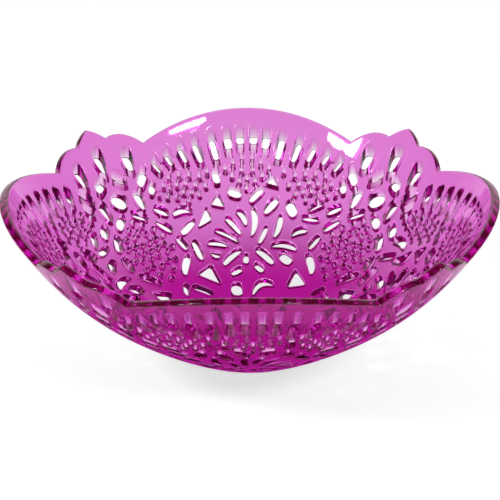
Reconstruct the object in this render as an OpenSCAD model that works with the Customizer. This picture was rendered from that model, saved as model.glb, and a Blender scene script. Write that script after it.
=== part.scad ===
// Pierced glass bowl with a scalloped rim: one moulding with no moving parts.
// The origin is at the centre of the flat base, +Z is up and the bowl stands on z = 0.
// Every piercing is drawn in plan and cut straight down, as a two-part mould forms it.

/* [Wall] */
// Thickness of the glass wall
wall = 4.1; // [3.5:0.1:5]
// Radius of the flat base that the bowl rests on
base_radius = 17.5; // [14:0.5:20]
// Slope of the wall where it leaves the base, in degrees
base_slope = 24; // [22:1:26]
// Slope of the wall where its curve tightens, in degrees
waist_slope = 36; // [34:1:38]
// Radius of the curve of the lower wall
lower_curve = 288; // [270:1:310]
// Radius of the curve of the upper wall
upper_curve = 153; // [150:1:156]

/* [Rim] */
// Distance of a large lobe's edge from the bowl's axis
lobe_reach = 111.4; // [109:0.1:113]
// Distance of the notch beside a large lobe from the bowl's axis
notch_reach = 105; // [103.5:0.1:106]
// Distance of a shoulder lobe's edge from the bowl's axis
shoulder_reach = 108.4; // [108:0.1:108.8]
// Distance of the notch beside an ear from the bowl's axis
ear_notch_reach = 108.6; // [108:0.1:109]
// Distance of an ear's edge from the bowl's axis
ear_reach = 111.2; // [110:0.1:113]

/* [Piercings] */
// Width of the slots that follow the edge of a lobe
slot_width = 4.4; // [3.6:0.1:4.6]
// Radius of the arc on which those slots end, about the lobe's own centre
slot_arc = 72.7; // [71.5:0.1:73]

/* [Hidden] */
quarters = 4;            // the pattern repeats every 90 degrees
notch_angle = 29.6;      // azimuth of the notch beside a large lobe, from the lobe's axis
shoulder_angle = 34.6;   // azimuth of the shoulder lobe's edge point
ear_notch_angle = 40.2;  // azimuth of the notch beside an ear
ear_angle = 45;          // azimuth of the ear
top_slope = 67;          // slope at which the profile ends, beyond the rim
profile_steps = 4;       // straight steps in each arc of the profile
headroom = 100;          // a height above every part of the rim
focus = 140;             // height on the axis where lines square to the rim meet
lobe_centre = 34.2;      // distance from the axis to the centre of a large lobe's edge arc
hole_points = 8;         // points in the outline of a hole

// The profile is two tangent arcs. A point on it is given by the wall's slope there.
waist = [base_radius + lower_curve * (sin(waist_slope) - sin(base_slope)),
         lower_curve * (cos(base_slope) - cos(waist_slope))];
function lower(s) = [base_radius + lower_curve * (sin(s) - sin(base_slope)),
                     lower_curve * (cos(base_slope) - cos(s))];
function upper(s) = waist + upper_curve * [sin(s) - sin(waist_slope), cos(waist_slope) - cos(s)];
function outer(s) = s < waist_slope ? lower(s) : upper(s);
function inner(s) = outer(s) + wall * [-sin(s), cos(s)];
slopes = concat([for (i = [0 : profile_steps - 1])
                     base_slope + (waist_slope - base_slope) * i / profile_steps],
                [for (i = [0 : profile_steps])
                     waist_slope + (top_slope - waist_slope) * i / profile_steps]);

// The slope of the wall where its inner face has radius r, in the upper arc
function slope_at(r) = asin((r - waist[0] + upper_curve * sin(waist_slope)) / (upper_curve - wall));
// A point of the rim's inner edge, from its azimuth and its distance from the axis
function edge(a, r) = [r * sin(a), r * cos(a), inner(slope_at(r))[1]];

module solid_wall() {
    rotate_extrude($fn = 180)
        polygon(concat([[0, 0]], [for (s = slopes) outer(s)],
                       [for (i = [len(slopes) - 1 : -1 : 0]) inner(slopes[i])],
                       [[0, inner(base_slope)[1]]]));
}

// The part of a round cone that passes through three points, with its tip at the focus
module cone_through(p, q, s) {
    tip = [0, 0, focus];
    d = (p - tip) / norm(p - tip);
    e = (q - tip) / norm(q - tip);
    f = (s - tip) / norm(s - tip);
    c = cross(d - e, e - f);
    axis = c * d > 0 ? c / norm(c) : -c / norm(c);
    half = acos(axis * d);
    near = 60;
    far = 190;
    translate(tip) rotate([0, acos(axis[2]), atan2(axis[1], axis[0])])
        translate([0, 0, near])
            cylinder(h = far - near, r1 = near * tan(half), r2 = far * tan(half), $fn = 180);
}

// What a scallop between azimuths a and b leaves off: the wedge there, outside its cone.
// The wedge laps over its neighbours a little, and it starts just below the lower notch,
// so that it stays clear of the far side of a small cone.
module off_scallop(a, ra, m, rm, b, rb) {
    lap = 0.05;
    near = 85;
    far = 150;
    margin = 6;
    bottom = min(edge(a, ra)[2], edge(b, rb)[2]) - margin;
    difference() {
        translate([0, 0, bottom]) linear_extrude(headroom - bottom)
            polygon([near * [sin(a - lap), cos(a - lap)], far * [sin(a - lap), cos(a - lap)],
                     far * [sin(b + lap), cos(b + lap)], near * [sin(b + lap), cos(b + lap)]]);
        cone_through(edge(a, ra), edge(m, rm), edge(b, rb));
    }
}

module off_rim() {
    for (q = [0 : quarters - 1]) rotate(90 * q) {
        off_scallop(-notch_angle, notch_reach, 0, lobe_reach, notch_angle, notch_reach);
        for (side = [0, 1]) mirror([side, 0, 0])
            off_scallop(notch_angle, notch_reach, shoulder_angle, shoulder_reach,
                        ear_notch_angle, ear_notch_reach);
        off_scallop(ear_notch_angle, ear_notch_reach, ear_angle, ear_reach,
                    90 - ear_notch_angle, ear_notch_reach);
    }
}

// A hole with round ends from p to q, of width u at p and v at q, bowed by b to the left.
// A fullness near 1 gives an oval and near 0 a rectangle.
module bean(p, q, u, v, b = 0, fullness = 0.75) {
    half = (q - p) / 2;
    across = [-half[1], half[0]] / norm(half);
    polygon([for (i = [0 : hole_points - 1])
        let (t = 360 * (i + 0.5) / hole_points, x = sign(cos(t)) * pow(abs(cos(t)), fullness),
             y = sign(sin(t)) * pow(abs(sin(t)), fullness), w = (u + v + (v - u) * x) / 4)
            (p + q) / 2 + half * x + across * (w * y + b * (1 - x * x))]);
}

// A three-cornered hole whose corners are cut back by about r
module trefoil(p, q, s, r) {
    function toward(a, b, k) = a + (b - a) * k / norm(b - a);
    middle = (p + q + s) / 3;
    polygon([for (c = [[s, p, q], [p, q, s], [q, s, p]])
        for (k = [0 : 2]) k == 1 ? toward(c[1], middle, r * 0.55) : toward(c[1], c[k], r * 1.5)]);
}

// Holes of one lobe, in plan, with the lobe's axis along +Y and lengths in mm.
// Each row is one end, the other end, the width at each end and the bow.
flower_centre = [0, 62.5];
petals = [
    [[-0.8, 71.5], [-5.3, 78], 2.4, 3.6, -1],
    [[1.8, 66.5], [2.4, 79.4], 2.2, 3.4, -1.6],
    [[-3.5, 67.3], [-11, 74.6], 2.4, 3.6, -0.6],
    [[-4.5, 63.8], [-16.5, 68.2], 2.4, 2.8, -0.8],
    [[-9.8, 61.6], [-20, 61.2], 3, 3, -0.8],
    [[-3.2, 60], [-12, 51.8], 3.2, 3, -0.8],
    [[3.8, 60.3], [12.3, 52.2], 3.6, 3.2, 0.6],
    [[11.2, 61.2], [23.8, 57], 3, 3, 1.6],
    [[13, 65], [16.4, 75], 2.8, 3.2, -0.8],
    [[5.5, 62.8], [9.5, 70.6], 2.4, 2.8, 0],
    [[-0.8, 58], [-1.2, 53.2], 2.4, 3, 0]
];
flower_drops = [
    [[-18.3, 57], [-13.6, 56.4], 2.8, 3, -0.6],
    [[15.6, 56.6], [21, 51], 4.2, 4.6, 0],
    [[-8.4, 47.6], [-3, 50.9], 3, 3.2, 0],
    [[3.2, 53], [7.4, 49], 3, 3.4, 0],
    [[21.4, 64.6], [29.4, 64.8], 3.2, 3.2, 1],
    [[-26.9, 61.3], [-22.4, 52.5], 3.8, 3.8, 0],
    [[-10, 86], [-2.8, 84.6], 4.8, 4.6, 0],
    [[1.2, 81.6], [8.3, 87], 3.6, 4, 0.4],
    [[8.4, 76.4], [15.2, 82.2], 3.4, 4.8, 0],
    [[20.2, 80.2], [23.6, 72.8], 4.6, 4.4, 0],
    [[26.8, 71.8], [35.7, 67.8], 2.8, 2.6, 0],
    [[30, 73.5], [38.6, 74.4], 3, 3, 0.6],
    [[-26.4, 71], [-32.8, 62.4], 3, 3.2, 0],
    [[-37, 70.2], [-27.5, 74.6], 3.2, 3.2, 1.4],
    [[-5.8, 43.2], [-5.5, 36.6], 5.2, 5.8, 0],
    [[2, 37.4], [12.4, 41.4], 3.4, 4, 3.6],
    [[-27.8, 36.4], [-16.8, 35.2], 3.4, 3.6, 0.6],
    [[-16.6, 93.6], [-14.8, 87.6], 4.4, 4.2, 0]
];
// Three corners and the radius of the corners
flower_leaves = [
    [[-18.8, 79], [-14.8, 84.8], [-10.8, 78.7], 1.6],
    [[-20.6, 78.4], [-24.8, 67.6], [-17.4, 73], 1.4],
    [[-18.2, 51.2], [-25, 44.2], [-12.8, 41.6], 1.3],
    [[22.8, 47.4], [17.8, 38.8], [28, 37], 1.7],
    [[8.6, 88.6], [12.4, 92.6], [16.6, 86], 1.4]
];

// Holes beside an ear, in plan, with the ear's axis along +Y. Each row has its mirror image too.
ear_pairs = [
    [[16.4, 104.2], [14.8, 96.8], 7.4, 4.6, 0],
    [[2.6, 98.9], [10, 94.9], 4.4, 4, 0],
    [[14.8, 91.2], [22.8, 95.8], 3.8, 4.2, 0],
    [[18.3, 86.8], [23.7, 90.2], 3, 3.4, 0],
    [[11.9, 91.2], [10.8, 83.2], 6.8, 3.8, 0],
    [[2.2, 84.4], [10, 79.8], 3.6, 3.6, 0],
    [[16, 82.4], [21.8, 77.2], 3.8, 3.8, 0],
    [[13, 77.6], [18, 70.4], 3.8, 3.8, 0],
    [[17.8, 67.6], [18.4, 60.4], 3.6, 3.6, 0],
    [[7.7, 51.6], [17.2, 58], 3.2, 3.6, 0.5]
];
ear_head = [[-0.4, 107.6], [0, 99.4], 8, 3.6];
ear_gem = [[-4.9, 90], [4.9, 90], 7, 7];
ear_foot = [[0.4, 42.4], [4.8, 47.8], 3.2, 3.4];

// The slots along a lobe's edge: azimuth about the centre of that edge, and length
rim_slots = [[2.9, 5.2], [8.3, 6.4], [14.9, 9.2], [22.4, 8.9], [28.9, 7.1], [35.4, 5.9], [41.7, 6]];
slot_fullness = 0.45;
gem_fullness = 1.15;

// Petals around the base: [inner radius, outer radius, width]
base_petals = 16;
base_petal = [21, 31, 3.4];

module rim_slot_row() {
    for (slot = rim_slots, side = [-1, 1]) {
        end = [side * slot_arc * sin(slot[0]), lobe_centre + slot_arc * cos(slot[0])];
        inward = (flower_centre - end) / norm(flower_centre - end);
        bean(end, end + slot[1] * inward, slot_width, slot_width - 0.6, 0, slot_fullness);
    }
}

module lobe_piercings() {
    rim_slot_row();
    for (h = concat(petals, flower_drops)) bean(h[0], h[1], h[2], h[3], h[4]);
    for (h = flower_leaves) trefoil(h[0], h[1], h[2], h[3]);
}

module ear_piercings() {
    for (side = [0, 1], h = ear_pairs) mirror([side, 0]) bean(h[0], h[1], h[2], h[3], h[4]);
    bean(ear_head[0], ear_head[1], ear_head[2], ear_head[3]);
    bean(ear_gem[0], ear_gem[1], ear_gem[2], ear_gem[3], 0, gem_fullness);
    bean(ear_foot[0], ear_foot[1], ear_foot[2], ear_foot[3]);
}

module piercings() {
    for (q = [0 : quarters - 1]) rotate(90 * q) {
        lobe_piercings();
        rotate(-ear_angle) ear_piercings();
    }
    for (i = [0 : base_petals - 1]) rotate(360 * (i + 0.5) / base_petals)
        bean([0, base_petal[0]], [0, base_petal[1]], base_petal[2] - 1, base_petal[2]);
}

module glass_bowl() color([0.82, 0.22, 0.66, 0.6]) difference() {
    solid_wall();
    off_rim();
    translate([0, 0, -1]) linear_extrude(headroom) piercings();
}

glass_bowl();
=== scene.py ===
"""A pierced magenta glass bowl with a scalloped rim, on a pale floor in soft studio light."""

import math

import bpy
import numpy as np
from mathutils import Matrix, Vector
from mathutils.geometry import delaunay_2d_cdt


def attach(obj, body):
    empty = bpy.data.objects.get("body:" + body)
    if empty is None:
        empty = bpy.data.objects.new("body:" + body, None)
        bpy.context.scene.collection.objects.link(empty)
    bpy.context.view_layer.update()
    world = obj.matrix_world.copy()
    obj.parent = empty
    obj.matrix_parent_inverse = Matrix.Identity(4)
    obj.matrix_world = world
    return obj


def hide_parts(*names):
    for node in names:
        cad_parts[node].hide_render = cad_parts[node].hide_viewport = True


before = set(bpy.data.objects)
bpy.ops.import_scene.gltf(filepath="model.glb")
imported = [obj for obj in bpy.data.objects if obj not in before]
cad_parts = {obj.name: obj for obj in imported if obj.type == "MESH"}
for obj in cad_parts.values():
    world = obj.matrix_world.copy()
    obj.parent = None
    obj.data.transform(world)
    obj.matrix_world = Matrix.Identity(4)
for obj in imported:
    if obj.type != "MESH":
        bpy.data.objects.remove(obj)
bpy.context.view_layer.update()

MM = 0.001  # the bowl's outlines below are in millimetres, and Blender's objects in metres

# ---------------------------------------------------------------- the wall, as in the CAD model
WALL = 4.1                      # its thickness
BASE_RADIUS = 17.5              # of the flat disc that the bowl stands on
BASE_SLOPE = math.radians(24)   # where the wall leaves that disc
WAIST_SLOPE = math.radians(36)  # where the wall's two arcs meet
STEEPEST_SINE = 0.98            # a limit that keeps the upper arc from running past its end
LOWER_CURVE = 288               # radius of the lower arc
UPPER_CURVE = 153               # and of the upper one
CREASE = 0.6                    # how far the corner between the base and the wall is rounded
UPRIGHT_RADIUS = 100            # the piercings are cut straight down beyond this radius
SQUARE_RADIUS = 70              # and square to the wall within this one
NUDGE = 0.01                    # the step to each side that the wall's rise is measured over
TINY = 1e-6                     # least radius that anything is divided by

WAIST_RADIUS = BASE_RADIUS + LOWER_CURVE * (math.sin(WAIST_SLOPE) - math.sin(BASE_SLOPE))
WAIST_HEIGHT = LOWER_CURVE * (math.cos(BASE_SLOPE) - math.cos(WAIST_SLOPE))


def slope_at(r, depth):
    """The wall's slope where a surface that lies depth above its outer face has radius r."""
    r = np.asarray(r, float)
    low = (r - BASE_RADIUS + LOWER_CURVE * math.sin(BASE_SLOPE)) / (LOWER_CURVE - depth)
    high = (r - WAIST_RADIUS + UPPER_CURVE * math.sin(WAIST_SLOPE)) / (UPPER_CURVE - depth)
    return np.arcsin(np.clip(np.where(low < math.sin(WAIST_SLOPE), low, high), -1, STEEPEST_SINE))


def height_at(r, depth):
    """The height of that surface at radius r, with the flat base and a soft corner around it."""
    slope = slope_at(r, depth)
    low = LOWER_CURVE * (math.cos(BASE_SLOPE) - np.cos(slope))
    high = WAIST_HEIGHT + UPPER_CURVE * (math.cos(WAIST_SLOPE) - np.cos(slope))
    wall = np.where(slope < WAIST_SLOPE, low, high) + depth * np.cos(slope)
    flat = depth * math.cos(BASE_SLOPE)
    return (wall + flat + np.hypot(wall - flat, CREASE)) / 2 - CREASE / 2 * np.exp(-np.abs(wall - flat))


def on_surface(plan, depth):
    """Points over plan, on the surface that lies depth above the outer face."""
    return np.column_stack([plan, height_at(np.hypot(*plan.T), depth)])


def surface_normals(plan, depth):
    """That surface's upward normals at those points."""
    r = np.hypot(*plan.T)
    rise = (height_at(r + NUDGE, depth) - height_at(np.abs(r - NUDGE), depth)) / (2 * NUDGE)
    out = plan / np.maximum(r, TINY)[:, None]
    return unit(np.column_stack([-out * rise[:, None], np.ones(len(plan))]))


def lean_at(plan):
    """How far the sides of a piercing at these plan points lean from the upright."""
    r = np.hypot(*plan.T)
    return slope_at(r, WALL) * np.clip((UPRIGHT_RADIUS - r) / (UPRIGHT_RADIUS - SQUARE_RADIUS), 0, 1)


def to_outer_face(plan):
    """The plan points where piercings that start at these points of the inner face come out."""
    r = np.hypot(*plan.T)
    lean = lean_at(plan)
    shift = WALL * np.sin(lean) / np.cos(slope_at(r, WALL) - lean) * np.clip(r / BASE_RADIUS, 0, 1)
    return plan * (1 + shift / np.maximum(r, TINY))[:, None]


def unit(vectors):
    """The vectors, scaled to length 1."""
    return vectors / np.linalg.norm(vectors, axis=-1, keepdims=True)


def polar(azimuth, r):
    """The plan point at that azimuth, in degrees from +Y towards +X, and distance from the axis."""
    return np.array([r * math.sin(math.radians(azimuth)), r * math.cos(math.radians(azimuth))])


def turned(points, degrees):
    """Plan points turned clockwise about the axis, as seen from above."""
    a = math.radians(degrees)
    x, y = np.asarray(points, float).T
    return np.column_stack([x * math.cos(a) + y * math.sin(a), y * math.cos(a) - x * math.sin(a)])


# ---------------------------------------------------------------- the rim
# Points of the inner edge: azimuth from the lobe's axis and distance from the bowl's axis
LOBE = (0, 111.4)
NOTCH = (29.6, 105)
SHOULDER = (34.6, 108.4)
EAR_NOTCH = (40.2, 108.6)
EAR_FLANK = (42.6, 110.5)
EAR = (45, 111.7)
RIM_STEP = 2.8            # distance between the points along the rim
FEWEST_STEPS = 4          # on one of its arcs
RIM_ROUND = 2.2           # how far the rim's inner edge is rounded
RIM_BACK_ROUND = 1.0      # and its outer edge
RIM_STEPS = (0.2, 0.4, 0.6, 0.8, 1)   # places along the inner edge's rounding
RIM_BACK_STEPS = (0, 1 / 3, 2 / 3)    # and along the outer edge's


def arc_through(first, middle, last):
    """Points from the first up to the last, without it, along the circle through all three."""
    (ax, ay), (bx, by), (cx, cy) = first, middle, last
    d = 2 * (ax * (by - cy) + bx * (cy - ay) + cx * (ay - by))
    a2, b2, c2 = ax * ax + ay * ay, bx * bx + by * by, cx * cx + cy * cy
    centre = np.array([a2 * (by - cy) + b2 * (cy - ay) + c2 * (ay - by),
                       a2 * (cx - bx) + b2 * (ax - cx) + c2 * (bx - ax)]) / d
    radius = np.linalg.norm(first - centre)
    start = math.atan2(*(first - centre))
    turn = (math.atan2(*(last - centre)) - start) % (2 * math.pi)
    steps = max(FEWEST_STEPS, round(radius * turn / RIM_STEP))
    angles = start + turn * np.arange(steps) / steps
    return centre + radius * np.column_stack([np.sin(angles), np.cos(angles)])


def mirrored(point):
    """The azimuth and distance of a rim point's mirror image on the other side of the ear."""
    return 90 - point[0], point[1]


def rim_outline():
    """The rim's inner edge in plan, clockwise from the notch left of the lobe on +Y."""
    scallops = [((-NOTCH[0], NOTCH[1]), LOBE, NOTCH), (NOTCH, SHOULDER, EAR_NOTCH),
                (EAR_NOTCH, EAR_FLANK, EAR), (EAR, mirrored(EAR_FLANK), mirrored(EAR_NOTCH)),
                (mirrored(EAR_NOTCH), mirrored(SHOULDER), mirrored(NOTCH))]
    quarter = np.vstack([arc_through(*[polar(*point) for point in scallop]) for scallop in scallops])
    return np.vstack([turned(quarter, 90 * q) for q in range(4)])


# ---------------------------------------------------------------- the piercings, in plan
HOLE_POINTS = 22          # around a round-ended hole
HOLE_FULLNESS = 0.75      # under 1, its ends are blunter than an ellipse's
BEAD_POINTS = 10          # around a bead hole
BEAD_RADIUS = 1.25
CORNER_POINTS = 6         # along each rounded corner of a leaf
CORNER_START = 1.5        # where the rounding starts, in corner radii from the corner
CORNER_CUT = 0.55         # how far inside the corner it passes, in corner radii

# Holes of one lobe, with the lobe's axis along +Y:
# one end, the other end, the width at each end and how far the hole is bowed.
PETALS = [
    ((-0.8, 71.5), (-5.3, 78), 2.4, 3.6, -1),
    ((1.8, 66.5), (2.4, 79.4), 2.2, 3.4, -1.6),
    ((-3.5, 67.3), (-11, 74.6), 2.4, 3.6, -0.6),
    ((-4.5, 63.8), (-16.5, 68.2), 2.4, 2.8, -0.8),
    ((-9.8, 61.6), (-20, 61.2), 3, 3, -0.8),
    ((-3.2, 60), (-12, 51.8), 3.2, 3, -0.8),
    ((3.8, 60.3), (12.3, 52.2), 3.6, 3.2, 0.6),
    ((11.2, 61.2), (23.8, 57), 3, 3, 1.6),
    ((13, 65), (16.4, 75), 2.8, 3.2, -0.8),
    ((5.5, 62.8), (9.5, 70.6), 2.4, 2.8, 0),
    ((-0.8, 58), (-1.2, 53.2), 2.4, 3, 0),
]
DROPS = [
    ((-18.3, 57), (-13.6, 56.4), 2.8, 3, -0.6),
    ((15.6, 56.6), (21, 51), 4.2, 4.6, 0),
    ((-8.4, 47.6), (-3, 50.9), 3, 3.2, 0),
    ((3.2, 53), (7.4, 49), 3, 3.4, 0),
    ((21.4, 64.6), (29.4, 64.8), 3.2, 3.2, 1),
    ((-26.9, 61.3), (-22.4, 52.5), 3.8, 3.8, 0),
    ((-10, 86), (-2.8, 84.6), 4.8, 4.6, 0),
    ((1.2, 81.6), (8.3, 87), 3.6, 4, 0.4),
    ((8.4, 76.4), (15.2, 82.2), 3.4, 4.8, 0),
    ((20.2, 80.2), (23.6, 72.8), 4.6, 4.4, 0),
    ((26.8, 71.8), (35.7, 67.8), 2.8, 2.6, 0),
    ((30, 73.5), (38.6, 74.4), 3, 3, 0.6),
    ((-26.4, 71), (-32.8, 62.4), 3, 3.2, 0),
    ((-37, 70.2), (-27.5, 74.6), 3.2, 3.2, 1.4),
    ((-5.8, 43.2), (-5.5, 36.6), 5.2, 5.8, 0),
    ((2, 37.4), (12.4, 41.4), 3.4, 4, 3.6),
    ((-27.8, 36.4), (-16.8, 35.2), 3.4, 3.6, 0.6),
    ((-16.6, 93.6), (-14.8, 87.6), 4.4, 4.2, 0),
]
# Three-cornered leaves: the corners and their radius
LEAVES = [
    ((-18.8, 79), (-14.8, 84.8), (-10.8, 78.7), 1.6),
    ((-20.6, 78.4), (-24.8, 67.6), (-17.4, 73), 1.4),
    ((-18.2, 51.2), (-25, 44.2), (-12.8, 41.6), 1.3),
    ((22.8, 47.4), (17.8, 38.8), (28, 37), 1.7),
    ((8.6, 88.6), (12.4, 92.6), (16.6, 86), 1.4),
]
# Holes beside an ear, with the ear's axis along +Y. Each has its mirror image too.
EAR_PAIRS = [
    ((16.4, 104.2), (14.8, 96.8), 7.4, 4.6, 0),
    ((2.6, 98.9), (10, 94.9), 4.4, 4, 0),
    ((14.8, 91.2), (22.8, 95.8), 3.8, 4.2, 0),
    ((18.3, 86.8), (23.7, 90.2), 3, 3.4, 0),
    ((11.9, 91.2), (10.8, 83.2), 6.8, 3.8, 0),
    ((2.2, 84.4), (10, 79.8), 3.6, 3.6, 0),
    ((16, 82.4), (21.8, 77.2), 3.8, 3.8, 0),
    ((13, 77.6), (18, 70.4), 3.8, 3.8, 0),
    ((17.8, 67.6), (18.4, 60.4), 3.6, 3.6, 0),
    ((7.7, 51.6), (17.2, 58), 3.2, 3.6, 0.5),
]
EAR_HEAD = ((-0.4, 107.6), (0, 99.4), 8, 3.6, 0)
EAR_GEM = ((-4.9, 90), (4.9, 90), 7, 7, 0, 1.15)  # its fullness of over 1 sharpens its ends
EAR_FOOT = ((0.4, 42.4), (4.8, 47.8), 3.2, 3.4, 0)

# Slots along a lobe's edge: azimuth about the centre of that edge, and length. Each has its
# mirror image too, and all of them point to the middle of the flower.
SLOTS = [(2.9, 5.2), (8.3, 6.4), (14.9, 9.2), (22.4, 8.9), (28.9, 7.1), (35.4, 5.9), (41.7, 6)]
SLOT_CENTRE = np.array([0, 34.2])
SLOT_ARC = 72.7           # distance from that centre to the slots' outer ends
SLOT_WIDTH = 4.4          # at the outer end
SLOT_TAPER = 0.6          # how much narrower the inner end is
SLOT_FULLNESS = 0.45
FLOWER_CENTRE = np.array([0, 62.5])

# Bead holes: those of a lobe and of an ear that have a mirror image, then the single ones
LOBE_BEADS = [
    (2.6, 98), (7.1, 96.4), (11.1, 94.1), (2.8, 94), (7.6, 91.7), (3.9, 89.9),
    (24.2, 89.6), (29.4, 88.8), (34.4, 87.5), (39.4, 84.9),
    (20.9, 86.4), (26, 85.8), (31.1, 85.2), (35.4, 83.4), (42, 80.8),
    (24, 82.4), (28, 82.2), (32, 81.3), (38.5, 80.9), (44.1, 76.1),
    (29.2, 78.7), (35, 78.4), (39.9, 77),
]
EAR_BEADS = [
    (4.4, 78.1), (3.7, 74.6), (9, 75), (2.4, 70.7), (6.9, 71.2), (11.7, 70.7),
    (4.8, 67.4), (9.3, 67.8), (2.4, 64.2), (8.3, 64.3), (12.5, 65), (5.1, 60.5), (9.5, 59.8),
    (4.3, 56),
]
SINGLE_LOBE_BEADS = [(0, 90.9), (-0.3, 87.3), (-20.3, 91.8), (18.6, 92)]
SINGLE_EAR_BEADS = [(0, 80.6), (0, 76.3), (0, 67.4), (0, 59.4), (0, 52.7)]

BASE_PETALS = 16
BASE_PETAL = (21, 31, 2.4, 3.4)  # inner and outer radius, and the width at each


def curve(start, control, end, t):
    """The point t of the way along the smooth curve from start to end that control pulls aside."""
    return (1 - t) ** 2 * start + 2 * t * (1 - t) * control + t * t * end


def toward(start, end, length):
    """The point at that distance from start on the way to end."""
    return start + (end - start) * length / np.linalg.norm(end - start)


def bean(start, end, start_width, end_width, bow, fullness=HOLE_FULLNESS):
    """A round-ended hole from start to end, bowed to the left."""
    start, end = np.array(start, float), np.array(end, float)
    half = (end - start) / 2
    across = np.array([-half[1], half[0]]) / np.linalg.norm(half)
    t = 2 * math.pi * (np.arange(HOLE_POINTS) + 0.5) / HOLE_POINTS
    x = np.sign(np.cos(t)) * np.abs(np.cos(t)) ** fullness
    y = np.sign(np.sin(t)) * np.abs(np.sin(t)) ** fullness
    half_width = (start_width + end_width + (end_width - start_width) * x) / 4
    return ((start + end) / 2 + np.outer(x, half)
            + np.outer(half_width * y + bow * (1 - x * x), across))


def leaf(first, second, third, radius):
    """A three-cornered hole with rounded corners."""
    corners = [np.array(corner, float) for corner in (first, second, third)]
    middle = sum(corners) / 3
    outline = []
    for i, corner in enumerate(corners):
        following = corners[(i + 1) % 3]
        start = toward(corner, corners[i - 1], radius * CORNER_START)
        end = toward(corner, following, radius * CORNER_START)
        control = 2 * toward(corner, middle, radius * CORNER_CUT) - (start + end) / 2
        outline += [curve(start, control, end, t) for t in np.linspace(0, 1, CORNER_POINTS)]
        outline.append((end + toward(following, corner, radius * CORNER_START)) / 2)
    return np.array(outline)


def counter_clockwise(outline):
    """The outline, reversed if it runs clockwise."""
    x, y = outline.T
    doubled_area = np.dot(x, np.roll(y, -1)) - np.dot(y, np.roll(x, -1))
    return outline if doubled_area > 0 else outline[::-1]


def beads(pairs, singles):
    """Round holes at the first points and their mirror images, and at the single ones."""
    t = 2 * math.pi * np.arange(BEAD_POINTS) / BEAD_POINTS
    circle = BEAD_RADIUS * np.column_stack([np.cos(t), np.sin(t)])
    centres = pairs + [(-x, y) for x, y in pairs] + singles
    return [circle + centre for centre in centres]


def lobe_holes():
    """The holes of the lobe on +Y."""
    holes = []
    for azimuth, length in SLOTS:
        for side in (-1, 1):
            a = math.radians(side * azimuth)
            end = SLOT_CENTRE + SLOT_ARC * np.array([math.sin(a), math.cos(a)])
            inward = unit(FLOWER_CENTRE - end)
            holes.append(bean(end, end + length * inward, SLOT_WIDTH, SLOT_WIDTH - SLOT_TAPER, 0,
                              SLOT_FULLNESS))
    holes += [bean(*row) for row in PETALS + DROPS]
    holes += [leaf(*row) for row in LEAVES]
    return holes + beads(LOBE_BEADS, SINGLE_LOBE_BEADS)


def ear_holes():
    """The holes below an ear, as if the ear were on +Y."""
    holes = [bean(*EAR_HEAD), bean(*EAR_GEM), bean(*EAR_FOOT)]
    for row in EAR_PAIRS:
        hole = bean(*row)
        holes += [hole, hole * [-1, 1]]
    return holes + beads(EAR_BEADS, SINGLE_EAR_BEADS)


def all_holes():
    """The counter-clockwise outlines of all the holes, on the inner face."""
    holes = []
    for q in range(4):
        holes += [turned(hole, 90 * q) for hole in lobe_holes()]
        holes += [turned(hole, 90 * q + 45) for hole in ear_holes()]
    inner, outer, inner_width, outer_width = BASE_PETAL
    petal = bean((0, inner), (0, outer), inner_width, outer_width, 0)
    holes += [turned(petal, 360 * (i + 0.5) / BASE_PETALS) for i in range(BASE_PETALS)]
    return [counter_clockwise(hole) for hole in holes]


# ---------------------------------------------------------------- the bowl's mesh
EDGE_ROUND = 0.8          # radius of the softened edges of the holes
EDGE_STEPS = (0.33, 0.67, 1)   # places along their rounding
BEAD_ROUND = 0.7          # the same for the bead holes
BEAD_STEPS = (0.5, 1)
EDGE_SHARE = 0.4          # the most that one edge's rounding takes of the gap to the next hole
GRID = 3.4                # spacing of the points on the plain parts of the wall
CLEARANCE = 1.5           # least distance from those points to a hole
MERGE_DISTANCE = 1e-5     # points closer than this would become one
KEEP_ALL = 0              # delaunay_2d_cdt's choice that returns every triangle


def outward(outline):
    """Unit vectors that point out of a counter-clockwise outline, in plan."""
    along = np.roll(outline, -1, 0) - np.roll(outline, 1, 0)
    return unit(np.column_stack([along[:, 1], -along[:, 0]]))


def reach(outline):
    """The distance from an outline's middle to its furthest point."""
    return np.hypot(*(outline - outline.mean(0)).T).max()


def inside(points, outline):
    """Which points lie inside the outline."""
    ax, ay = outline.T
    bx, by = np.roll(outline, -1, 0).T
    px, py = points[:, :1], points[:, 1:]
    with np.errstate(divide="ignore", invalid="ignore"):
        crossing = ((ay > py) != (by > py)) & (px < (bx - ax) * (py - ay) / (by - ay) + ax)
    return crossing.sum(1) % 2 == 1


def distance(points, outline):
    """Each point's distance from the outline."""
    start = outline[None]
    side = (np.roll(outline, -1, 0) - outline)[None]
    offset = points[:, None] - start
    t = np.clip((offset * side).sum(2) / (side * side).sum(2), 0, 1)[..., None]
    return np.linalg.norm(offset - t * side, axis=2).min(1)


def edge_radii(holes):
    """The radius of each hole's softened edge: less where a neighbour is close."""
    centres = np.array([hole.mean(0) for hole in holes])
    sizes = np.array([reach(hole) for hole in holes])
    radii = []
    for i, hole in enumerate(holes):
        least_gap = np.hypot(*(centres - centres[i]).T) - sizes - sizes[i]
        near = [j for j in np.where(least_gap < EDGE_ROUND / EDGE_SHARE)[0] if j != i]
        gap = min([distance(hole, holes[j]).min() for j in near], default=math.inf)
        radii.append(min(EDGE_ROUND if len(hole) > BEAD_POINTS else BEAD_ROUND, EDGE_SHARE * gap))
    return radii


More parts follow.
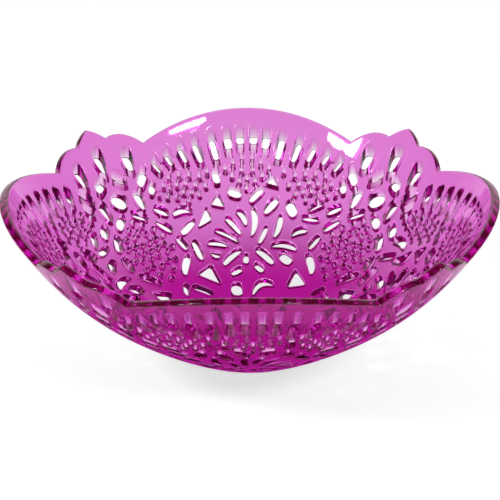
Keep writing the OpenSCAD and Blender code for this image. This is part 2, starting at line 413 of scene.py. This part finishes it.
def lattice_points(outlines, rim):
    """A triangular lattice of points inside the rim, clear of the holes."""
    extent = np.hypot(*rim.T).max()
    rows = np.arange(-extent, extent, GRID * math.sqrt(0.75))
    points = np.array([(x + (i % 2) * GRID / 2, y) for i, y in enumerate(rows)
                       for x in np.arange(-extent, extent, GRID)])
    points = points[inside(points, rim) & (distance(points, rim) > CLEARANCE)]
    for outline in outlines:
        near = np.where(np.hypot(*(points - outline.mean(0)).T) < reach(outline) + CLEARANCE)[0]
        if len(near):
            blocked = inside(points[near], outline) | (distance(points[near], outline) < CLEARANCE)
            points = np.delete(points, near[blocked], 0)
    return points


def triangulated(plan, sizes):
    """The point numbers of each outline, and the triangles of the glass between them.

    The plan starts with the outlines, which have these sizes: the rim first, then the holes.
    """
    ends = np.cumsum(sizes)
    loops = [list(range(end - size, end)) for end, size in zip(ends.tolist(), sizes)]
    _, _, triangles, verts_from, _, faces_from = delaunay_2d_cdt(
        [Vector(point) for point in plan], [], loops, KEEP_ALL, MERGE_DISTANCE, True)
    assert all(len(source) == 1 for source in verts_from), "two outlines touch"
    origin = np.array([source[0] for source in verts_from])
    only_in_rim = [triangle for triangle, source in zip(triangles, faces_from) if source == [0]]
    return loops, origin[np.array(only_in_rim)]


class MeshParts:
    """Points, their normals and the faces between them, gathered part by part."""

    def __init__(self):
        self.points, self.normals, self.faces, self.count = [], [], [], 0

    def add(self, points, normals):
        """Add points, and return their numbers."""
        self.points.append(points)
        self.normals.append(normals)
        ids = np.arange(self.count, self.count + len(points))
        self.count += len(points)
        return ids

    def bridge(self, first, rings, last):
        """Quads from one closed ring of added points over new rings to another added one."""
        ids = [first] + [self.add(*ring) for ring in rings] + [last]
        for ring, next_ring in zip(ids, ids[1:]):
            corners = [ring, np.roll(ring, -1), np.roll(next_ring, -1), next_ring]
            self.faces += np.column_stack(corners).tolist()


def rim_section(rim):
    """The rim, from where the outer face ends, over the end face, to where the inner face ends.

    Returns the outer face's edge, the rings between the two as points and normals, and the
    inner face's edge.
    """
    radial = unit(rim)
    slope = slope_at(np.hypot(*rim.T), WALL)[:, None]
    square = np.column_stack([-radial * np.sin(slope), np.cos(slope)])
    inner_corner = on_surface(rim, WALL)
    outer_corner = inner_corner - WALL * square
    along = np.roll(inner_corner, -1, 0) - np.roll(inner_corner, 1, 0)
    end_normal = unit(np.cross(along, square))
    inner_edge = on_surface(rim - RIM_ROUND * radial * np.cos(slope), WALL)
    outer_edge = on_surface(outer_corner[:, :2] - RIM_BACK_ROUND * radial * np.cos(slope), 0)
    inner_end = inner_corner - RIM_ROUND * square
    outer_end = outer_corner + RIM_BACK_ROUND * square
    inner = [(curve(inner_edge, inner_corner, inner_end, t),
              unit(square * (1 - t) + end_normal * t)) for t in RIM_STEPS]
    outer = [(curve(outer_end, outer_corner, outer_edge, t),
              unit(end_normal * (1 - t) - square * t)) for t in RIM_BACK_STEPS]
    return outer_edge, (inner + outer)[::-1], inner_edge


def hole_section(hole, ring, radius):
    """A hole's wall and softened edges, as rings of points and normals from the inner face down.

    The ring around the hole is where its inner edge's rounding starts.
    """
    steps = EDGE_STEPS if len(hole) > BEAD_POINTS else BEAD_STEPS
    lean = lean_at(hole)[:, None]
    through = np.column_stack([unit(hole) * np.sin(lean), -np.cos(lean)])
    side = np.column_stack([-outward(hole), np.zeros(len(hole))])
    side = unit(side - (side * through).sum(1)[:, None] * through)
    rings = []
    for edge, lip, depth, down in ((ring, hole, WALL, 1),
                                   (to_outer_face(ring), to_outer_face(hole), 0, -1)):
        start, corner = on_surface(edge, depth), on_surface(lip, depth)
        normal = down * surface_normals(edge, depth)
        rounded = [(curve(start, corner, corner + down * radius * through, t),
                    unit(normal * (1 - t) + side * t)) for t in steps]
        rings += rounded[::down]
    return rings


def bowl_mesh():
    """The whole bowl as one closed mesh."""
    parts = MeshParts()
    rim = rim_outline()[::-1]
    holes = all_holes()
    radii = edge_radii(holes)
    rings = [hole + radius * outward(hole) for hole, radius in zip(holes, radii)]
    outer_edge, rim_rings, inner_edge = rim_section(rim)

    # One plan of triangles serves the inner face and the outer face.
    inner_plan = np.vstack([inner_edge[:, :2], *rings, lattice_points(rings, inner_edge[:, :2])])
    loops, triangles = triangulated(inner_plan, [len(outline) for outline in [rim, *rings]])
    outer_plan = to_outer_face(inner_plan)
    outer_plan[:len(rim)] = outer_edge[:, :2]
    inner_ids = parts.add(on_surface(inner_plan, WALL), surface_normals(inner_plan, WALL))
    outer_ids = parts.add(on_surface(outer_plan, 0), -surface_normals(outer_plan, 0))
    parts.faces += inner_ids[triangles].tolist() + outer_ids[triangles[:, ::-1]].tolist()

    parts.bridge(outer_ids[loops[0]], rim_rings, inner_ids[loops[0]])
    for hole, ring, radius, loop in zip(holes, rings, radii, loops[1:]):
        parts.bridge(inner_ids[loop], hole_section(hole, ring, radius), outer_ids[loop])
    return parts


def make_object(name, parts):
    """A smoothly shaded object in the scene, made of those parts."""
    mesh = bpy.data.meshes.new(name)
    mesh.from_pydata((np.vstack(parts.points) * MM).tolist(), [], parts.faces)
    mesh.update()
    mesh.polygons.foreach_set("use_smooth", [True] * len(mesh.polygons))
    mesh.normals_split_custom_set_from_vertices(np.vstack(parts.normals).tolist())
    obj = bpy.data.objects.new(name, mesh)
    bpy.context.scene.collection.objects.link(obj)
    return obj


# ---------------------------------------------------------------- materials
GLASS_IOR = 1.5
GLASS_ROUGHNESS = 0.02
GLASS_DENSITY = 335          # absorption of the most absorbed colour, per metre
GLASS_COLOUR = (0.887, 0.0, 0.80)
WAVE_SCALE = 45              # of the noise that makes the glass slightly wavy, per metre
WAVE_DETAIL = 1
WAVE_STRENGTH = 0.25
WAVE_HEIGHT = 0.001

FLOOR_ROUGHNESS = 0.9
PAPER = (0.8, 0.8, 0.8)            # the floor's colour
PAPER_LIGHT = (0.72, 0.72, 0.72)   # and the light that it adds, for the camera
FAR_LIGHT = (0.58, 0.58, 0.58)     # and for the glass, away from the bowl
PAINTED_SHADOW_PAPER = (0.2, 0.0, 0.15)    # painted shadow: the floor's dark magenta colour close to the bowl, for the glass, in place of the bowl's shade there
PAINTED_BOWL_LIGHT = (0.5, 0.02, 0.36)   # and painted light there: the bowl's magenta light on the floor, as emission
PAINTED_LIGHT_RANGE = {"From Min": 0.08, "From Max": 0.17}   # how far from the bowl's axis the painted shadow and light fade


def node_tree(material):
    """An emptied node tree's nodes and links."""
    material.use_nodes = True
    nodes, links = material.node_tree.nodes, material.node_tree.links
    nodes.clear()
    return nodes, links


def smooth_range(nodes, links, value, limits):
    """A node's output taken through a smooth step with these limits, by their socket names."""
    step = nodes.new("ShaderNodeMapRange")
    step.interpolation_type = "SMOOTHSTEP"
    for name, limit in limits.items():
        step.inputs[name].default_value = limit
    links.new(value, step.inputs["Value"])
    return step.outputs["Result"]


def mix_colour(nodes, links, factor, first, second):
    """The mix of two colours, each a constant or another node's output."""
    mix = nodes.new("ShaderNodeMix")
    mix.data_type = "RGBA"
    links.new(factor, mix.inputs["Factor"])
    first_socket, second_socket = [socket for socket in mix.inputs if socket.type == "RGBA"]
    for socket, colour in ((first_socket, first), (second_socket, second)):
        if isinstance(colour, tuple):
            socket.default_value = (*colour, 1)
        else:
            links.new(colour, socket)
    return next(socket for socket in mix.outputs if socket.type == "RGBA")


def glass_material():
    """Clear glass coloured through, with the slight waves that it keeps from its mould."""
    material = bpy.data.materials.new("magenta_glass")
    nodes, links = node_tree(material)
    output = nodes.new("ShaderNodeOutputMaterial")
    surface = nodes.new("ShaderNodeBsdfPrincipled")
    surface.inputs["Base Color"].default_value = (1, 1, 1, 1)
    surface.inputs["Roughness"].default_value = GLASS_ROUGHNESS
    surface.inputs["IOR"].default_value = GLASS_IOR
    surface.inputs["Transmission Weight"].default_value = 1
    place = nodes.new("ShaderNodeTexCoord")
    waves = nodes.new("ShaderNodeTexNoise")
    waves.inputs["Scale"].default_value = WAVE_SCALE
    waves.inputs["Detail"].default_value = WAVE_DETAIL
    links.new(place.outputs["Object"], waves.inputs["Vector"])
    bump = nodes.new("ShaderNodeBump")
    bump.inputs["Strength"].default_value = WAVE_STRENGTH
    bump.inputs["Distance"].default_value = WAVE_HEIGHT
    links.new(waves.outputs[0], bump.inputs["Height"])
    links.new(bump.outputs["Normal"], surface.inputs["Normal"])
    links.new(surface.outputs["BSDF"], output.inputs["Surface"])
    absorb = nodes.new("ShaderNodeVolumeAbsorption")
    absorb.inputs["Color"].default_value = (*GLASS_COLOUR, 1)
    absorb.inputs["Density"].default_value = GLASS_DENSITY
    links.new(absorb.outputs["Volume"], output.inputs["Volume"])
    return material


def floor_material():
    """White paper to the camera, and to the glass paper with the bowl's shadow and its magenta light
    painted on it close to the bowl.
    """
    material = bpy.data.materials.new("floor_paper")
    nodes, links = node_tree(material)
    output = nodes.new("ShaderNodeOutputMaterial")
    surface = nodes.new("ShaderNodeBsdfPrincipled")
    surface.inputs["Roughness"].default_value = FLOOR_ROUGHNESS
    surface.inputs["Emission Strength"].default_value = 1
    place = nodes.new("ShaderNodeTexCoord")
    radius = nodes.new("ShaderNodeVectorMath")
    radius.operation = "LENGTH"
    links.new(place.outputs["Object"], radius.inputs[0])
    away = smooth_range(nodes, links, radius.outputs["Value"], PAINTED_LIGHT_RANGE)
    by_camera = nodes.new("ShaderNodeLightPath").outputs["Is Camera Ray"]
    for socket, close, far, seen in (("Emission Color", PAINTED_BOWL_LIGHT, FAR_LIGHT, PAPER_LIGHT),
                                     ("Base Color", PAINTED_SHADOW_PAPER, PAPER, PAPER)):
        # Close to the bowl the glass sees a painted shadow and painted magenta light instead of the
        # floor's own colour and light.
        painted_near_bowl = mix_colour(nodes, links, away, close, far)
        links.new(mix_colour(nodes, links, by_camera, painted_near_bowl, seen), surface.inputs[socket])
    links.new(surface.outputs["BSDF"], output.inputs["Surface"])
    return material


# ---------------------------------------------------------------- the studio, in metres and watts
CAMERA_TARGET = Vector((0.0001, 0, 0.0547))
CAMERA_DISTANCE = 0.943
CAMERA_ELEVATION = math.radians(24.28)
CAMERA_YAW = math.radians(-0.855)
LENS = 145.8          # in millimetres, as is the sensor
SENSOR_WIDTH = 36

# Name, place, size and power
SOFTBOXES = [
    ("softbox_left", (-1.04, -0.61, 1.04), (0.4, 0.3), 8),
    ("softbox_right", (0.74, -1.0, 1.0), (0.45, 0.3), 8),
]
LIGHT_TARGET = Vector((0, 0, 0.04))

# Strength of the world by direction, where Y is 1 straight behind the bowl
WORLD_RANGE = {"From Min": 0.45, "From Max": 0.92, "To Min": 0.04, "To Max": 0.95}
FLOOR_HALF_WIDTH = 6
MOST_BOUNCES = 32     # enough to get through all the faces of the openwork
GLOSSY_BOUNCES = 12


def make_camera():
    """A long lens, from the front and a little above."""
    data = bpy.data.cameras.new("camera")
    data.sensor_width = SENSOR_WIDTH
    data.lens = LENS
    camera = bpy.data.objects.new("camera", data)
    level = math.cos(CAMERA_ELEVATION)
    offset = Vector((math.sin(CAMERA_YAW) * level, -math.cos(CAMERA_YAW) * level,
                     math.sin(CAMERA_ELEVATION)))
    camera.location = CAMERA_TARGET + CAMERA_DISTANCE * offset
    camera.rotation_euler = (-offset).to_track_quat("-Z", "Y").to_euler()
    bpy.context.scene.collection.objects.link(camera)
    bpy.context.scene.camera = camera


def make_floor():
    """A wide flat floor at the height of the bowl's base."""
    size = FLOOR_HALF_WIDTH
    mesh = bpy.data.meshes.new("floor")
    mesh.from_pydata([(-size, -size, 0), (size, -size, 0), (size, size, 0), (-size, size, 0)], [],
                     [(0, 1, 2, 3)])
    floor = bpy.data.objects.new("floor", mesh)
    bpy.context.scene.collection.objects.link(floor)
    floor.data.materials.append(floor_material())


def make_world():
    """A white world, bright behind the bowl and dim elsewhere."""
    world = bpy.data.worlds.new("studio")
    bpy.context.scene.world = world
    world.use_nodes = True
    nodes, links = world.node_tree.nodes, world.node_tree.links
    place = nodes.new("ShaderNodeTexCoord")
    axes = nodes.new("ShaderNodeSeparateXYZ")
    links.new(place.outputs["Generated"], axes.inputs[0])
    strength = smooth_range(nodes, links, axes.outputs["Y"], WORLD_RANGE)
    links.new(strength, nodes["Background"].inputs["Strength"])
    nodes["Background"].inputs["Color"].default_value = (1, 1, 1, 1)


def make_softbox(name, place, size, power):
    """A rectangular light that faces the bowl."""
    data = bpy.data.lights.new(name, "AREA")
    data.shape = "RECTANGLE"
    data.size, data.size_y = size
    data.energy = power
    light = bpy.data.objects.new(name, data)
    light.location = place
    light.rotation_euler = (Vector(place) - LIGHT_TARGET).to_track_quat("Z", "Y").to_euler()
    bpy.context.scene.collection.objects.link(light)


def settings():
    """Plain colours, and light paths long enough for the glass."""
    scene = bpy.context.scene
    scene.view_settings.view_transform = "Standard"
    scene.cycles.max_bounces = MOST_BOUNCES
    scene.cycles.transmission_bounces = MOST_BOUNCES
    scene.cycles.glossy_bounces = GLOSSY_BOUNCES
    scene.cycles.caustics_refractive = False
    scene.cycles.caustics_reflective = False


make_camera()
make_world()
make_floor()
for softbox in SOFTBOXES:
    make_softbox(*softbox)
settings()

bowl = make_object("pierced_bowl", bowl_mesh())
bowl.data.materials.append(glass_material())
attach(bowl, "root")
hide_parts("glass_bowl")
